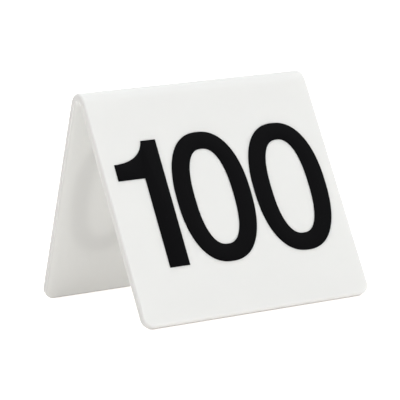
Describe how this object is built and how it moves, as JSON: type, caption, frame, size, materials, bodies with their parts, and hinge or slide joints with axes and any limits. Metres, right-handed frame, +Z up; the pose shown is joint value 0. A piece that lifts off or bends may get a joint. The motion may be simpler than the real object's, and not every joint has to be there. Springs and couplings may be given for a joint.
{
  "type": "table number tent",
  "caption": "Free-standing opal acrylic tent folded over a rounded ridge, with a large black number on each face; stands on a table to number it.",
  "frame": {"origin": "on the table plane, at the centre of the tent's footprint, straight below the middle of the fold", "axes": "+X along the fold, to the reader's right when facing the front number; +Y from the front panel to the rear panel; +Z up"},
  "size_m": [0.1016, 0.0948, 0.0884],
  "materials": {
    "opal_acrylic": "white translucent cast acrylic sheet, satin sheen",
    "black_film": "matt black self-adhesive vinyl film, cut to shape"
  },
  "bodies": {
    "root": {"tent_sheet": "opal_acrylic", "front_numeral_one": "black_film", "front_numeral_zero_left": "black_film", "front_numeral_zero_right": "black_film", "rear_numeral_one": "black_film", "rear_numeral_zero_left": "black_film", "rear_numeral_zero_right": "black_film"}
  },
  "joints": []
}
